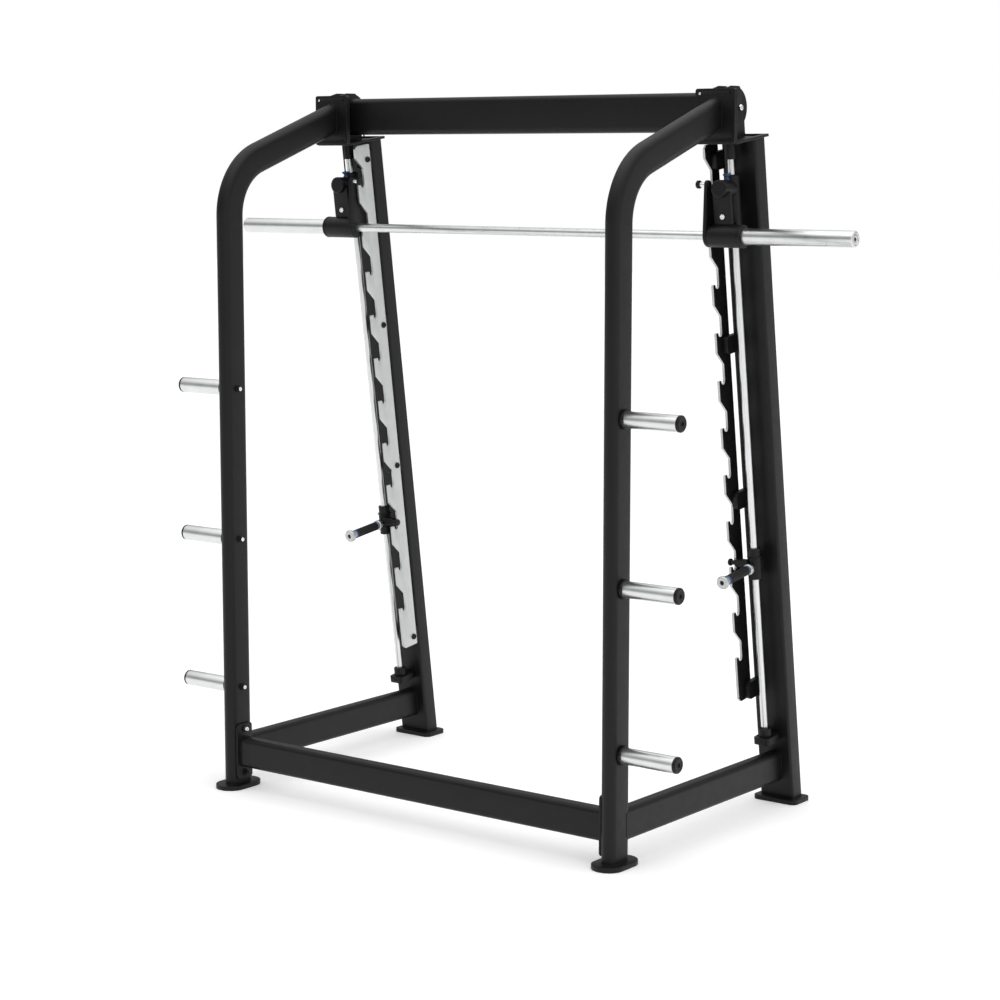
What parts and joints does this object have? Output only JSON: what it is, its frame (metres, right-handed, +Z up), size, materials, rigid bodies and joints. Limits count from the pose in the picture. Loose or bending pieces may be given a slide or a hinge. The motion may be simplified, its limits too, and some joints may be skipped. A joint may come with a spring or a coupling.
{
  "type": "smith machine",
  "caption": "Smith machine: leaning guide rods and hook racks on a bent tube frame, counterbalanced bar with sleeves, safety stops and plate pegs.",
  "frame": {"origin": "on the floor at the middle of the footprint", "axes": "+X across the machine along the bar, +Y from the front uprights to the rear posts, +Z up"},
  "size_m": [2.436, 1.0904, 2.293],
  "materials": {
    "frame_paint": "satin black powder coat",
    "fitting_paint": "satin black",
    "rack_steel": "brushed, zinc plated",
    "chrome": "bright chrome",
    "grip_rubber": "matte black rubber over a steel core",
    "nylon": "satin black nylon",
    "cast_weight": "rough cast",
    "cable_coat": "nylon coated steel cable"
  },
  "bodies": {
    "frame": {"front_cross_beam": "frame_paint", "left_cable": "cable_coat", "left_front_foot": "frame_paint", "left_front_upright": "frame_paint", "left_guide_rod": "chrome", "left_hook_rack": "rack_steel", "left_lower_storage_peg": "chrome", "left_middle_storage_peg": "chrome", "left_pulley_axle": "chrome", "left_rack_lug_1": "fitting_paint", "left_rack_lug_2": "fitting_paint", "left_rack_lug_3": "fitting_paint", "left_rack_lug_4": "fitting_paint", "left_rear_foot": "frame_paint", "left_rear_post": "frame_paint", "left_rod_lower_clamp": "fitting_paint", "left_rod_upper_socket": "fitting_paint", "left_side_beam": "frame_paint", "left_top_bracket": "frame_paint", "left_upper_storage_peg": "chrome", "right_cable": "cable_coat", "right_front_foot": "frame_paint", "right_front_upright": "frame_paint", "right_guide_rod": "chrome", "right_hook_rack": "rack_steel", "right_lower_storage_peg": "chrome", "right_middle_storage_peg": "chrome", "right_pulley_axle": "chrome", "right_rack_lug_1": "fitting_paint", "right_rack_lug_2": "fitting_paint", "right_rack_lug_3": "fitting_paint", "right_rack_lug_4": "fitting_paint", "right_rear_foot": "frame_paint", "right_rear_post": "frame_paint", "right_rod_lower_clamp": "fitting_paint", "right_rod_upper_socket": "fitting_paint", "right_side_beam": "frame_paint", "right_top_bracket": "frame_paint", "right_upper_storage_peg": "chrome", "top_cross_beam": "frame_paint"},
    "carriages": {"left_carriage": "fitting_paint", "left_cable_anchor": "fitting_paint", "right_carriage": "fitting_paint", "right_cable_anchor": "fitting_paint"},
    "bar": {"bar_shaft": "chrome", "left_latch_arm": "fitting_paint", "right_latch_arm": "fitting_paint"},
    "left_sleeve": {"left_bar_sleeve": "chrome"},
    "left_pulley": {"left_pulley": "nylon"},
    "left_counterweight": {"left_counterweight": "cast_weight"},
    "left_stop_bush": {"left_stop_bush": "fitting_paint"},
    "left_stop": {"left_stop_collar": "fitting_paint", "left_stop_handle": "grip_rubber"},
    "right_sleeve": {"right_bar_sleeve": "chrome"},
    "right_pulley": {"right_pulley": "nylon"},
    "right_counterweight": {"right_counterweight": "cast_weight"},
    "right_stop_bush": {"right_stop_bush": "fitting_paint"},
    "right_stop": {"right_stop_collar": "fitting_paint", "right_stop_handle": "grip_rubber"}
  },
  "joints": [
    {"name": "bar_slide", "type": "slide", "parent": "frame", "child": "carriages", "axis": [0, -0.1374, 0.9905], "range_m": [-0.906, 0.02], "deforming": ["left_cable", "right_cable"]},
    {"name": "bar_twist", "type": "hinge", "parent": "carriages", "child": "bar", "pos_m": [0, 0.10132, 1.84201], "axis": [1, 0, 0], "range_deg": [-11.9, 30]},
    {"name": "left_sleeve_spin", "type": "hinge", "parent": "bar", "child": "left_sleeve", "pos_m": [-1, 0.10132, 1.84201], "axis": [1, 0, 0], "continuous": true},
    {"name": "left_pulley_spin", "type": "hinge", "parent": "frame", "child": "left_pulley", "pos_m": [-0.765, 0.13879, 2.22822], "axis": [1, 0, 0], "range_deg": [-25, 1000]},
    {"name": "left_counterweight_slide", "type": "slide", "parent": "frame", "child": "left_counterweight", "axis": [0, -0.1374, 0.9905], "range_m": [-0.021, 0.91]},
    {"name": "left_stop_slide", "type": "slide", "parent": "frame", "child": "left_stop_bush", "axis": [0, -0.1374, 0.9905], "range_m": [-0.0135, 0.02]},
    {"name": "left_stop_swing", "type": "hinge", "parent": "left_stop_bush", "child": "left_stop", "pos_m": [-0.765, 0.30706, 0.79727], "axis": [0, 0.1374, -0.9905], "range_deg": [0, 60]},
    {"name": "right_sleeve_spin", "type": "hinge", "parent": "bar", "child": "right_sleeve", "pos_m": [1, 0.10132, 1.84201], "axis": [1, 0, 0], "continuous": true},
    {"name": "right_pulley_spin", "type": "hinge", "parent": "frame", "child": "right_pulley", "pos_m": [0.765, 0.13879, 2.22822], "axis": [1, 0, 0], "range_deg": [-25, 1000]},
    {"name": "right_counterweight_slide", "type": "slide", "parent": "frame", "child": "right_counterweight", "axis": [0, -0.1374, 0.9905], "range_m": [-0.021, 0.91]},
    {"name": "right_stop_slide", "type": "slide", "parent": "frame", "child": "right_stop_bush", "axis": [0, -0.1374, 0.9905], "range_m": [-0.0135, 0.02]},
    {"name": "right_stop_swing", "type": "hinge", "parent": "right_stop_bush", "child": "right_stop", "pos_m": [0.765, 0.30706, 0.79727], "axis": [0, -0.1374, 0.9905], "range_deg": [0, 60]}
  ],
  "couplings": [
    {"joint": "left_counterweight_slide", "follows": "bar_slide", "ratio": -1},
    {"joint": "left_pulley_spin", "follows": "bar_slide", "rad_per_m": -17.391},
    {"joint": "right_counterweight_slide", "follows": "bar_slide", "ratio": -1},
    {"joint": "right_pulley_spin", "follows": "bar_slide", "rad_per_m": -17.391}
  ]
}
